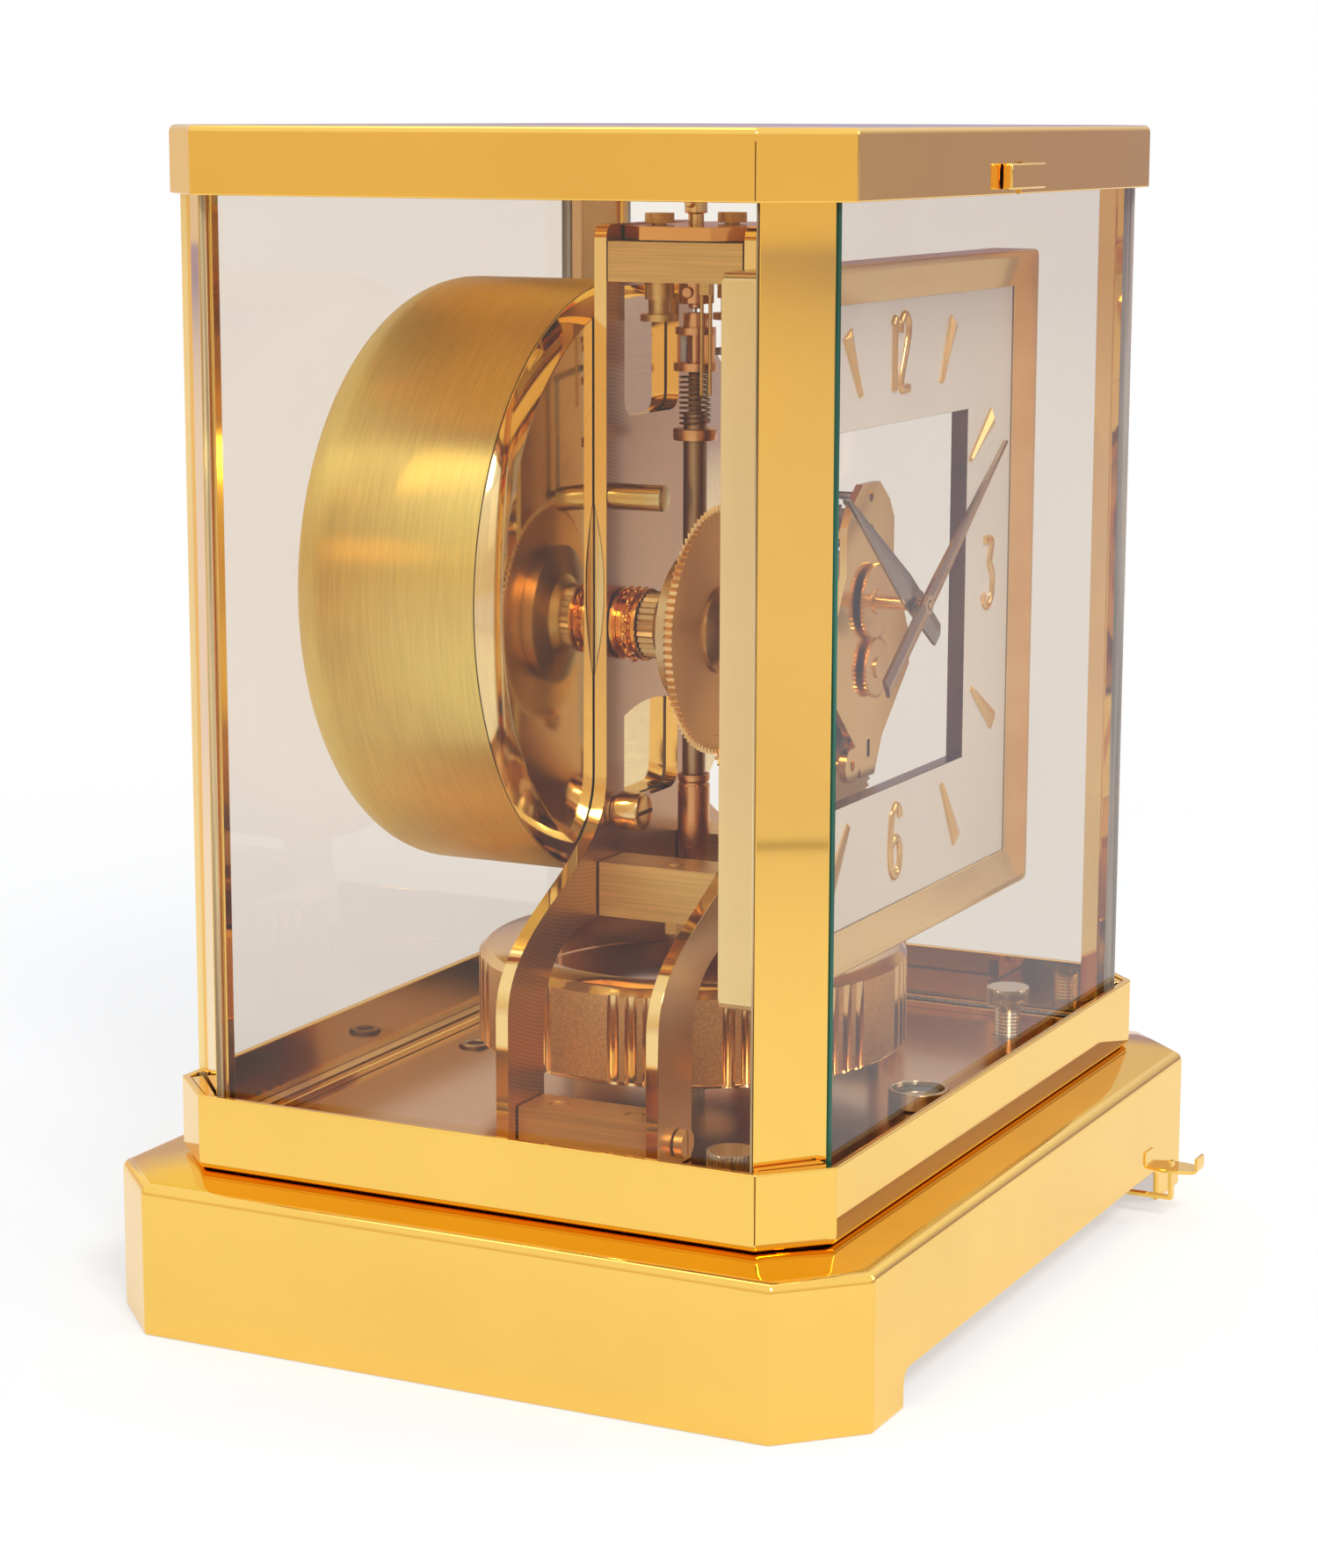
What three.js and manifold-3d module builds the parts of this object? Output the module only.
// Atmospheric clock: a glazed brass case round a torsion pendulum movement.
// Millimetres, +Z up, the dial faces -Y. The case stands centred on the Z axis.

import * as THREE from "three";
import * as BufferGeometryUtils from "three/addons/utils/BufferGeometryUtils.js";
import Module from "manifold-3d";

const wasm = await Module();
wasm.setup();

// Clearances shared by every piece.
const gap = 0.3;
const overrun = 1;

// Facet counts.
const shellSides = 48;
const roundSides = 28;
const smallSides = 16;
const tinySides = 10;
const hexSides = 6;
const filletSteps = 4;

// Bellows housing behind the rear plate.
const housing = { z: 142, radius: 61.6, frontFace: 10.6, rim: 3, rimDepth: 4.4, back: 60, round: 11, wall: 1.5 };
const recess = { radius: 26.6, depth: 2.2, floorRadius: 20.2 };
const bellows = { radius: 46, fold: 5, ribs: 7, front: 27, backCap: 1.5 };
const pushPlate = { radius: 40, thick: 1.6, bossRadius: 6, boss: 3 };
const bigSpring = { radius: 30, wire: 1, curls: 3 };
const lidHole = 5;

// Case. Its width and the room behind the housing drive the plinth, the rail, the lid, the posts and the panes.
const glass = { thick: 2.4, inLid: 4, behindHousing: 7.3, insetX: 2, insetY: 2.3 };
const caseBody = { width: 184, depth: 2 * (housing.back + glass.behindHousing + glass.thick + glass.insetY) };
const plinthLedge = { x: 10.5, y: 10 };
const plinth = {
  width: caseBody.width + 2 * plinthLedge.x, depth: caseBody.depth + 2 * plinthLedge.y,
  corner: 14.4, height: 30.6, wall: 1.2, shoulder: 4, ledge: 20,
};
const plinthArch = { inset: 29.5, height: 7.2, corner: 3 };
const railLedge = { x: 1, y: 0.5 };
const rail = {
  width: caseBody.width + 2 * railLedge.x, depth: caseBody.depth - 2 * railLedge.y,
  corner: 11.3, height: 14, wall: 1.5, curl: 4, flange: 5, flangeThick: 2, lift: 2.9,
};
const floorPlate = { rim: 2.3, rimInset: 5.5, raise: 0.8 };
const lid = {
  width: caseBody.width, depth: caseBody.depth, corner: 13.6, height: 13, wall: 1.5, round: 2.5, headroom: 19.5,
};
const post = { wingInset: 2.3, wingEnd: 13.9, faceInset: 3.8, faceEnd: 13.4, lip: 3.6 };
const pull = { width: 19, depth: 2, height: 5, stem: 3, stemHeight: 2, drop: 1, lift: 2 };

// Feet and levelling, measured from the shelf that runs round inside the plinth.
const leveller = { insetX: 10, insetY: 16, headRadius: 4.9, headHeight: 3.6, headLift: 7.5 };
const levellerShank = { radius: 3, footRadius: 5, footHeight: 2.4, groundGap: 0.6, knurls: 28, knurlDepth: 0.35 };
const rearFoot = { x: 10, insetY: 6.2, radius: 3.4, footRadius: 4.6, footHeight: 2.4, socketRadius: 2, rise: 0.8 };
const level = { x: 8.8, insetY: 11.4, radius: 6.4, height: 3.6, wall: 1, glassDrop: 0.4, edgeDrop: 0.5, crown: 0.13 };

// Movement frame: two arched plates parallel to the dial.
const frame = { halfWidth: 20, crest: 3.3, topRound: 3, shoulder: 104, legReach: 62.5, legTop: 62, legWidth: 15 };
const frameArch = { crown: 75, crownHalf: 25, spring: 56 };
const plateThick = 2.7;
const rearPlateFront = 7.6;
const frontPlateBack = -22.7;
const windows = { left: -12, right: 13, round: 4, upperDrop: 1.2, upperHeight: 26.4, lowerLow: 96.5, lowerHigh: 115 };
const footBar = { inner: 48.5, outer: 59, height: 9.2, screwY: 8.45, screwRadius: 2.1, screwDepth: 1.4 };
const legScrew = { radius: 2.9, head: 1.9, shank: 1.5, slot: 0.7, slotDepth: 0.7 };
const archBar = { inner: 13, outer: 24, high: 86.5, nutRadius: 2.5, nutDrop: 3.2, screwRadius: 2 };
const topBar = { clear: 6.8, height: 8, coverThick: 2.7, coverCut: 7, boreRadius: 3.2 };
const topBolt = { offsetX: 6, offsetY: 5.3, radius: 3, head: 2, shank: 1.5, stud: 4, neckRadius: 2.25 };
const topBoltTip = { neck: 3, flangeRadius: 3.9, flange: 1.4 };
const stud = { x: -17.3, z: 161, radius: 2.7, length: 12, screwRadius: 1.1, screwAlong: 5.4, screwRise: 0.8 };
const headScrew = { x: -15.6, z: 96, radius: 4, length: 5.8, baseRadius: 3.2, base: 0.8 };

// Balance and its suspension, on an upright line behind the dial. Heights above the ring follow from the tube.
const balanceY = -2.6;
const ring = { radius: 45, inner: 35, low: 46, high: 66, bevel: 1.6, web: 3, webLow: 55, hub: 6, hubTop: 70 };
const ringNeck = { radius: 3.35, top: 82.7 };
const flute = { groups: 12, perGroup: 3, pitchShare: 4.8 / 360, widthShare: 3.2 / 360, depth: 0.8 };
const fluteTurnShare = 9.8 / 360;
const tube = { radius: 2.45, bore: 1.2, length: 94, rod: 1.6, rodLength: 20.4, rodBore: 0.9 };
const sleeve = { footHeight: 4, height: 18.9, radius: 3.35, foot: 3.05 };
const collar = { drop: 5.6, height: 2.4, radius: 4.55 };
const coil = { radius: 3.3, wire: 0.27, curls: 10, drop: 2.5, rise: 8 };
const roller = { rise: 8.6, disc: 1.6, radius: 4.5, cageHeight: 7.4, cageInner: 2.9, cageRadius: 4.2 };
const rollerNeck = { radius: 2.6, topDrop: 0.2, capThick: 1.4 };
const pin = { radius: 0.75, alongX: -2.86, alongY: 1.26 };
const wire = { radius: 0.3, low: 90, grip: 2 };
const collet = { radius: 3.7, height: 4.7, chuck: 1.5, chuckDrop: 1, screwRadius: 1.2, screwRise: 0.7 };
const guard = { x: -4.3, y: -4.4, radius: 0.4, spread: 1.3, rise: 4, foot: 3 };
const knob = { neck: 1.6, neckHeight: 2.2, radius: 2.3, height: 4.2, screwRadius: 0.9, screwOut: 1.6 };

// Barrel group: chain pulley, ratchet, mainspring barrel and great wheel on one arbor.
const barrelAxis = { x: -12.5, z: 134.5 };
const arbor = { radius: 1.2, small: 0.75, train: 0.9 };
const pulley = { front: 1.5, back: 7.3, radius: 7.5, groove: 6, flange: 0.9 };
const chain = { wire: 0.5, pitch: 1.7, loops: 1.4 };
const ratchet = { front: -2.4, back: 1.2, radius: 6.9, teeth: 30, depth: 0.5 };
const barrel = { front: -13.5, neck: -5.4, shoulder: -7.5, radius: 15.8, throat: 9.2, mouth: 7.4 };
const greatWheel = { teeth: 96, front: -15.4, back: -13.8, domeRadius: 9, dome: 2.6, web: 0.5, rimWidth: 2.6 };
const domeShares = [[0, 1], [0.33, 0.83], [0.7, 0.5]];

// Going train. Tooth counts and centre distances give the modules.
const trainAxis = { x: -8, z: 108 };
const middleAxis = { x: 0.5, z: 127 };
const handAxis = { x: 0, z: 140.5 };
const escapeAxis = { x: 0, z: 155.25 };
const palletAxis = { x: 0, z: 161.7 };
const teeth = { trainPinion: 8, train: 80, middlePinion: 8, middle: 96, cannon: 10, relay: 40, hour: 50 };
const upperTeeth = { minute: 48, escapePinion: 12, escape: 15 };
const toothShape = { addendum: 0.85, dedendum: 1.15, tipShare: 0.17, rootShare: 0.27 };
const trainWheel = { front: -38, thick: 1, pinionFront: -16.8, pinionBack: -12.4 };
const middleWheel = { front: -39.9, thick: 0.6, pinionFront: -39, pinionBack: -36.2 };
const frontWheels = { front: -43.6, thick: 0.8, clipRadius: 2.2, clip: 0.5, hubRadius: 2.6 };
const cannon = { front: -40.1, thick: 1 };
const minuteWheel = { front: -31.5, thick: 0.9 };
const escapement = { front: -34.9, thick: 0.8, radius: 4.6, depth: 1.5, pinionFront: -32.2, pinionBack: -29.8 };
const pallet = { armAngleShare: 1 / 8, width: 1.3, clear: 0.6, forkFront: -20.6, forkThick: 1 };
const fork = { rise: 3.4, height: 1.5, width: 3, tip: 0.6, slot: 1, slotDepth: 2, boss: 1.6 };
const bridge = { front: -42, thick: 1.6, pillar: 1.5, lobe: 3.6 };
const bridgeUpper = { bump: 4.4, top: 164.4, bumpFoot: 160.5, shoulder: 9.5, half: 12, high: 156.5, low: 147 };
const bridgeLower = { half: 21, high: 131, low: 125, tipHalf: 3.2, tip: 104.6, waist: 7, waistZ: 112 };
const bridgePillars = { lowX: 17.5, lowZ: 128.5, highX: 9.4, highZ: 154.6 };
const bridgeSlot = { width: 1.4, height: 3.6, lift: 4 };

// Dial, bezel and hands.
const dialCentreZ = 140;
const bezel = { half: 69, front: -51, back: -41, round: 2, lip: 1.5, throat: 61, throatY: -48.3, seat: 61.8 };
const dial = { front: -48, thick: 3.8, opening: 36.8, footX: 14, footHigh: 186, footLow: 84, foot: 2.2 };
const hoursPerTurn = 12;
const hoursPerNumeral = 3;
const marker = { outer: 62, nearInner: 47.5, farInner: 46.6, wide: 2.3, narrow: 0.7, raise: 0.8, sink: 0.2 };
const pipe = { radius: 1.45, bore: 1.05, front: -52.7 };
const hourHand = { front: -52.4, thick: 0.7, length: 43, tail: 13.5, half: 3.1, tipHalf: 0.25, tailHalf: 2.4 };
const minuteHand = { front: -54.6, thick: 0.7, length: 51.5, tail: 25, half: 2.1, tipHalf: 0.2, tailHalf: 2.2 };
const handBlade = { ridge: 0.4, hourHub: 2.9, minuteHub: 2, hourBelly: 7, minuteBelly: 6 };
const handAngle = { hourShare: -55.5 / 360, minuteShare: 55 / 360 };
const minuteNose = 0.5;

// Pendulum lock: a finger lever under the case front and a pad that rises below the balance.
const lever = { inset: 12, rootX: 42, rootY: 4, plateGap: 1.2, plateLength: 12.4, plateZ: 11.6, thick: 1 };
const leverPlate = { half: 4, endHalf: 2.6, ear: 3, earDepth: 2.4 };
const leverArm = { half: 3, drop: 8, fromWall: 5, underDrop: 2.6, stem: 1.4, hub: 6, hubHeight: 4, pinRadius: 2 };
const lockPad = { radius: 10, thick: 2, clear: 2, post: 2.6, armHalf: 3.2, armThick: 1.6, reach: 6 };

// Places that several pieces share.
const shelfX = plinth.width / 2 - plinth.ledge;
const shelfY = plinth.depth / 2 - plinth.ledge;
const levellerX = shelfX - leveller.insetX;
const levellerY = leveller.insetY - shelfY;
const paneX = caseBody.width / 2 - glass.insetX;
const paneY = caseBody.depth / 2 - glass.insetY;
const wingX = caseBody.width / 2 - post.wingInset;
const wingEndY = caseBody.depth / 2 - post.wingEnd;
const faceY = caseBody.depth / 2 - post.faceInset;
const faceEndX = caseBody.width / 2 - post.faceEnd;
const archHalf = plinth.width / 2 - plinthArch.inset;
const leverX = archHalf - lever.inset;
const fingerInner = plinth.depth / 2 + lever.plateGap;
const fingerOuter = fingerInner + lever.plateLength;
const rearPlateBack = rearPlateFront + plateThick;
const frontPlateFront = frontPlateBack - plateThick;

// Heights, from the floor up.
const floorLow = plinth.height + gap;
const floorTop = floorLow + floorPlate.rim + floorPlate.raise;
const railLow = plinth.height + rail.lift;
const railTop = railLow + rail.height;
const flangeTop = railLow + rail.flangeThick;
const paneLow = flangeTop + gap;
const tubeLow = ringNeck.top + gap;
const tubeTop = tubeLow + tube.length;
const rodTop = tubeTop + tube.rodLength;
const rollerLow = tubeTop + roller.rise;
const cageTop = rollerLow + roller.cageHeight;
const rollerTop = rodTop - rollerNeck.topDrop;
const forkLow = rollerLow + fork.rise;
const barLow = rodTop + topBar.clear;
const barTop = barLow + topBar.height;
const coverLow = barTop + gap;
const coverTop = coverLow + topBar.coverThick;
const frameTop = barTop + frame.crest;
const windowHigh = barLow - windows.upperDrop;
const caseHeight = frameTop + lid.headroom;
const lidLow = caseHeight - lid.height;
const lidCeiling = caseHeight - lid.wall;
const paneTop = lidLow + glass.inLid;

// Small helpers for solids.

function outward(geometry) {
  // Turns a closed mesh whose faces point inward the right way out.
  const place = geometry.getAttribute("position");
  const order = geometry.getIndex().array;
  const a = new THREE.Vector3();
  const b = new THREE.Vector3();
  const c = new THREE.Vector3();
  let volume = 0;
  for (let i = 0; i < order.length; i += 3) {
    a.fromBufferAttribute(place, order[i]);
    b.fromBufferAttribute(place, order[i + 1]);
    c.fromBufferAttribute(place, order[i + 2]);
    volume += a.dot(b.cross(c));
  }
  if (volume < 0) {
    for (let i = 0; i < order.length; i += 3) {
      const first = order[i];
      order[i] = order[i + 1];
      order[i + 1] = first;
    }
  }
  return geometry;
}

function welded(geometry) {
  // Merges equal vertices and drops the triangles that collapse.
  const bare = geometry.clone();
  bare.deleteAttribute("normal");
  bare.deleteAttribute("uv");
  const merged = BufferGeometryUtils.mergeVertices(bare);
  const order = merged.getIndex().array;
  const kept = [];
  for (let i = 0; i < order.length; i += 3) {
    const [p, q, r] = [order[i], order[i + 1], order[i + 2]];
    if (p !== q && q !== r && r !== p) kept.push(p, q, r);
  }
  merged.setIndex(kept);
  return outward(merged);
}

function solid(geometry) {
  const ready = welded(geometry);
  return new wasm.Manifold(new wasm.Mesh({
    numProp: 3,
    vertProperties: new Float32Array(ready.getAttribute("position").array),
    triVerts: new Uint32Array(ready.getIndex().array),
  }));
}

function joined(...parts) {
  return parts.reduce((sum, part) => sum.add(part));
}

function cut(body, ...tools) {
  return tools.reduce((rest, tool) => rest.subtract(tool), body);
}

function geometryOf(body) {
  const mesh = body.getMesh();
  const geometry = new THREE.BufferGeometry();
  const places = new Float32Array(mesh.numVert * 3);
  for (let i = 0; i < mesh.numVert; i += 1) {
    for (let k = 0; k < 3; k += 1) places[3 * i + k] = mesh.vertProperties[i * mesh.numProp + k];
  }
  geometry.setAttribute("position", new THREE.BufferAttribute(places, 3));
  geometry.setIndex(new THREE.BufferAttribute(new Uint32Array(mesh.triVerts), 1));
  geometry.computeVertexNormals();
  return geometry;
}

function box(x0, x1, y0, y1, z0, z1) {
  const geometry = new THREE.BoxGeometry(x1 - x0, y1 - y0, z1 - z0);
  geometry.translate((x0 + x1) / 2, (y0 + y1) / 2, (z0 + z1) / 2);
  return solid(geometry);
}

function uprightBar(radius, low, high, x, y, sides = smallSides) {
  // An upright round bar.
  const geometry = new THREE.CylinderGeometry(radius, radius, high - low, sides);
  geometry.rotateX(Math.PI / 2);
  geometry.translate(x, y, (low + high) / 2);
  return solid(geometry);
}

function bar(radius, front, back, x, z, sides = smallSides) {
  // A round bar along Y.
  const geometry = new THREE.CylinderGeometry(radius, radius, back - front, sides);
  geometry.translate(x, (front + back) / 2, z);
  return solid(geometry);
}

function crossBar(radius, left, right, y, z, sides = tinySides) {
  // A round bar along X.
  const geometry = new THREE.CylinderGeometry(radius, radius, right - left, sides);
  geometry.rotateZ(Math.PI / 2);
  geometry.translate((left + right) / 2, y, z);
  return solid(geometry);
}

function turnedUp(profile, x, y, sides = roundSides) {
  // A turned piece with an upright axis. The profile holds radius and height pairs.
  const points = profile.map(([r, z]) => new THREE.Vector2(r, z));
  const geometry = new THREE.LatheGeometry(points, sides);
  geometry.rotateX(Math.PI / 2);
  geometry.translate(x, y, 0);
  return solid(geometry);
}

function turnedBack(profile, x, z, sides = roundSides) {
  // A turned piece with its axis along Y. The profile holds radius and depth pairs.
  const points = profile.map(([r, y]) => new THREE.Vector2(r, y));
  const geometry = new THREE.LatheGeometry(points, sides);
  geometry.translate(x, 0, z);
  return solid(geometry);
}

function closedProfile(points) {
  return [...points, points[0]];
}

function shapeOf(points, holes = []) {
  const shape = new THREE.Shape(points.map(([x, y]) => new THREE.Vector2(x, y)));
  for (const hole of holes) {
    shape.holes.push(new THREE.Path(hole.map(([x, y]) => new THREE.Vector2(x, y))));
  }
  return shape;
}

function slab(shape, low, high) {
  // A flat piece that lies level between two heights.
  const options = { depth: high - low, bevelEnabled: false, curveSegments: filletSteps };
  const geometry = new THREE.ExtrudeGeometry(shape, options);
  geometry.translate(0, 0, low);
  return solid(geometry);
}

function plate(shape, front, back) {
  // A flat piece parallel to the dial: the shape's y becomes the height.
  const options = { depth: back - front, bevelEnabled: false, curveSegments: filletSteps };
  const geometry = new THREE.ExtrudeGeometry(shape, options);
  geometry.rotateX(Math.PI / 2);
  geometry.translate(0, back, 0);
  return solid(geometry);
}

function stacked(levels) {
  // Joins rings of equal point counts into one solid with flat ends.
  const count = levels[0].length;
  const places = levels.flat(2);
  const order = [];
  for (let i = 0; i + 1 < levels.length; i += 1) {
    for (let j = 0; j < count; j += 1) {
      const a = i * count + j;
      const b = i * count + ((j + 1) % count);
      order.push(a, b, b + count, a, b + count, a + count);
    }
  }
  const last = (levels.length - 1) * count;
  for (let j = 1; j + 1 < count; j += 1) {
    order.push(0, j + 1, j, last, last + j, last + j + 1);
  }
  const geometry = new THREE.BufferGeometry();
  geometry.setAttribute("position", new THREE.Float32BufferAttribute(places, 3));
  geometry.setIndex(order);
  return solid(geometry);
}

function caseOutline(size, inset) {
  // A rectangle with cut corners, drawn in evenly by the inset.
  const halfX = size.width / 2 - inset;
  const halfY = size.depth / 2 - inset;
  const corner = Math.max(size.corner - inset * (2 - Math.SQRT2), size.wall);
  return [
    [halfX - corner, -halfY], [halfX, -halfY + corner], [halfX, halfY - corner], [halfX - corner, halfY],
    [-halfX + corner, halfY], [-halfX, halfY - corner], [-halfX, -halfY + corner], [-halfX + corner, -halfY],
  ];
}

function caseLevel(size, inset, z) {
  return caseOutline(size, inset).map(([x, y]) => [x, y, z]);
}

function ringPath(radius, x, z, sides) {
  const points = [];
  for (let i = 0; i < sides; i += 1) {
    const turn = (2 * Math.PI * i) / sides;
    points.push([x + radius * Math.cos(turn), z + radius * Math.sin(turn)]);
  }
  return points;
}

function gearRadii(count, module) {
  const pitch = (count * module) / 2;
  return { pitch, tip: pitch + toothShape.addendum * module, root: pitch - toothShape.dedendum * module };
}

function gearPoints(count, module, axis, turn = 0, pointed = false) {
  // Straight-flanked or pointed teeth; a turn of zero puts a tooth on the +X side.
  const { tip, root } = gearRadii(count, module);
  const points = [];
  const step = (2 * Math.PI) / count;
  for (let i = 0; i < count; i += 1) {
    const middle = turn + i * step;
    const rootHalf = step * toothShape.rootShare;
    const tipHalf = step * toothShape.tipShare;
    const crest = pointed ? [[tip, 0]] : [[tip, -tipHalf], [tip, tipHalf]];
    const stops = [[root, -rootHalf], ...crest, [root, rootHalf]];
    for (const [radius, offset] of stops) {
      points.push([axis.x + radius * Math.cos(middle + offset), axis.z + radius * Math.sin(middle + offset)]);
    }
  }
  return points;
}

function gear(count, module, axis, front, thick, turn = 0, pointed = false) {
  return plate(shapeOf(gearPoints(count, module, axis, turn, pointed)), front, front + thick);
}

function bearing(from, to) {
  return Math.atan2(to.z - from.z, to.x - from.x);
}

function meshTurn(driverCount, driverTurn, driver, followerCount, follower) {
  // Turns the follower so that one of its gaps faces a tooth of the driver.
  const toFollower = bearing(driver, follower);
  const toDriver = bearing(follower, driver);
  const driverPhase = ((toFollower - driverTurn) * driverCount) / (2 * Math.PI);
  const followerStep = (2 * Math.PI) / followerCount;
  return toDriver + (driverPhase - Math.floor(driverPhase) + 1 / 2) * followerStep;
}

function moduleOf(first, second, firstCount, secondCount) {
  return (2 * Math.hypot(first.x - second.x, first.z - second.z)) / (firstCount + secondCount);
}

function helix(path, wireRadius, sides) {
  // One unbroken round wire through the points, with flat ends.
  const levels = [];
  for (let i = 0; i < path.length; i += 1) {
    const before = path[Math.max(i - 1, 0)];
    const after = path[Math.min(i + 1, path.length - 1)];
    const along = after.clone().sub(before).normalize();
    const across = new THREE.Vector3().crossVectors(along, path.axis).normalize();
    const upright = new THREE.Vector3().crossVectors(across, along).normalize();
    const ringPoints = [];
    for (let k = 0; k < sides; k += 1) {
      const turn = (2 * Math.PI * k) / sides;
      const point = path[i].clone();
      point.addScaledVector(across, wireRadius * Math.cos(turn));
      point.addScaledVector(upright, wireRadius * Math.sin(turn));
      ringPoints.push([point.x, point.y, point.z]);
    }
    levels.push(ringPoints);
  }
  return stacked(levels);
}

function coilPath(radius, low, high, curls, stepsPerCurl, place) {
  const path = [];
  const steps = Math.round(curls * stepsPerCurl);
  for (let i = 0; i <= steps; i += 1) {
    const turn = (2 * Math.PI * i) / stepsPerCurl;
    path.push(place(radius * Math.cos(turn), radius * Math.sin(turn), low + ((high - low) * i) / steps));
  }
  path.axis = place(0, 0, 1).sub(place(0, 0, 0));
  return path;
}

function selfGap(name, path, wireRadius, stepsPerCurl) {
  // Least distance between neighbouring turns, measured on the points.
  let least = Infinity;
  const apart = Math.floor(stepsPerCurl / 2);
  for (let i = 0; i < path.length; i += 1) {
    for (let j = i + apart; j < path.length; j += 1) least = Math.min(least, path[i].distanceTo(path[j]));
  }
  console.log(`${name} least gap to itself ${(least - 2 * wireRadius).toFixed(2)} mm`);
}

// Finishes.
const finish = {
  polishedGold: { color: 0xe8ac3c, roughness: 0.12, metalness: 1 },
  satinBrass: { color: 0xc9993f, roughness: 0.35, metalness: 1 },
  roseBrass: { color: 0xc98d5c, roughness: 0.35, metalness: 1 },
  paleBrass: { color: 0xd2b48c, roughness: 0.3, metalness: 1 },
  bronze: { color: 0x6f5a48, roughness: 0.4, metalness: 1 },
  copper: { color: 0xb87044, roughness: 0.3, metalness: 1 },
  steel: { color: 0x8d8a86, roughness: 0.3, metalness: 1 },
  silvered: { color: 0xc9c6c1, roughness: 0.5, metalness: 0.2 },
  glass: { color: 0xe6e4e0, roughness: 0.03, metalness: 0 },
  mirror: { color: 0xd9c3a0, roughness: 0.04, metalness: 1 },
  ruby: { color: 0xd8d4d0, roughness: 0.15, metalness: 0 },
};

const clock = new THREE.Group();
clock.name = "atmospheric_clock";

function add(name, body, look) {
  const mesh = new THREE.Mesh(geometryOf(body), new THREE.MeshStandardMaterial(finish[look]));
  mesh.name = name;
  clock.add(mesh);
  return mesh;
}

function roundedRise(size, start, radius, top, startInset) {
  // The rings of a quarter-round edge that ends in a level top.
  const levels = [];
  for (let i = 0; i <= filletSteps; i += 1) {
    const turn = (Math.PI * i) / (2 * filletSteps);
    levels.push(caseLevel(size, startInset + radius * (1 - Math.cos(turn)), top - radius + radius * Math.sin(turn)));
  }
  return [caseLevel(size, startInset, start), ...levels];
}

function buildPlinth() {
  const shell = stacked(roundedRise(plinth, 0, plinth.shoulder, plinth.height, 0));
  const innerRound = plinth.shoulder - plinth.wall;
  const hollow = stacked(roundedRise(plinth, -overrun, innerRound, plinth.height - plinth.wall, plinth.wall));
  const opening = stacked([
    caseLevel(plinth, plinth.ledge, plinth.height - plinth.wall - overrun),
    caseLevel(plinth, plinth.ledge, plinth.height + overrun),
  ]);
  const arch = new THREE.Shape();
  arch.moveTo(-archHalf, -overrun);
  arch.lineTo(archHalf, -overrun);
  arch.lineTo(archHalf, plinthArch.height - plinthArch.corner);
  arch.quadraticCurveTo(archHalf, plinthArch.height, archHalf - plinthArch.corner, plinthArch.height);
  arch.lineTo(-archHalf + plinthArch.corner, plinthArch.height);
  arch.quadraticCurveTo(-archHalf, plinthArch.height, -archHalf, plinthArch.height - plinthArch.corner);
  const front = -plinth.depth / 2;
  const archCut = plate(arch, front - overrun, front + plinth.wall + overrun);
  add("plinth", cut(shell, hollow, opening, archCut), "polishedGold");
}

function buildRail() {
  const levels = [];
  for (let i = 0; i <= filletSteps; i += 1) {
    const turn = (Math.PI * i) / (2 * filletSteps);
    levels.push(caseLevel(rail, rail.curl * (1 - Math.sin(turn)), railLow + rail.curl * (1 - Math.cos(turn))));
  }
  levels.push(caseLevel(rail, 0, railTop));
  const well = stacked([caseLevel(rail, rail.wall, flangeTop), caseLevel(rail, rail.wall, railTop + overrun)]);
  const throat = stacked([
    caseLevel(rail, rail.wall + rail.flange, railLow - overrun),
    caseLevel(rail, rail.wall + rail.flange, flangeTop + overrun),
  ]);
  add("case_rail", cut(stacked(levels), well, throat), "polishedGold");
}

function buildFloor() {
  const low = stacked([
    caseLevel(rail, floorPlate.rimInset, floorLow),
    caseLevel(rail, floorPlate.rimInset, floorLow + floorPlate.rim),
  ]);
  const raised = stacked([
    caseLevel(rail, rail.wall + rail.flange + gap, floorLow),
    caseLevel(rail, rail.wall + rail.flange + gap, floorTop),
  ]);
  const holes = [
    uprightBar(rearFoot.radius + gap, floorLow - overrun, floorTop + overrun, rearFoot.x, shelfY - rearFoot.insetY),
    uprightBar(lockPad.post + gap, floorLow - overrun, floorTop + overrun, 0, balanceY),
  ];
  for (const side of [-1, 1]) {
    const reach = levellerShank.radius + gap;
    holes.push(uprightBar(reach, floorLow - overrun, floorTop + overrun, side * levellerX, levellerY));
  }
  add("floor_plate", cut(joined(low, raised), ...holes), "satinBrass");
}

function buildLid() {
  const outer = stacked(roundedRise(lid, lidLow, lid.round, caseHeight, 0));
  const innerRound = lid.round - lid.wall;
  const hollow = stacked(roundedRise(lid, lidLow - overrun, innerRound, lidCeiling, lid.wall));
  const notchHalf = pull.stem / 2 + gap;
  const front = -lid.depth / 2;
  const notchTop = lidLow + pull.drop + pull.stemHeight + pull.drop + pull.lift;
  const notch = box(-notchHalf, notchHalf, front - overrun, front + lid.wall + overrun, lidLow - overrun, notchTop);
  add("case_lid", cut(outer, hollow, notch), "polishedGold");
}

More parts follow.
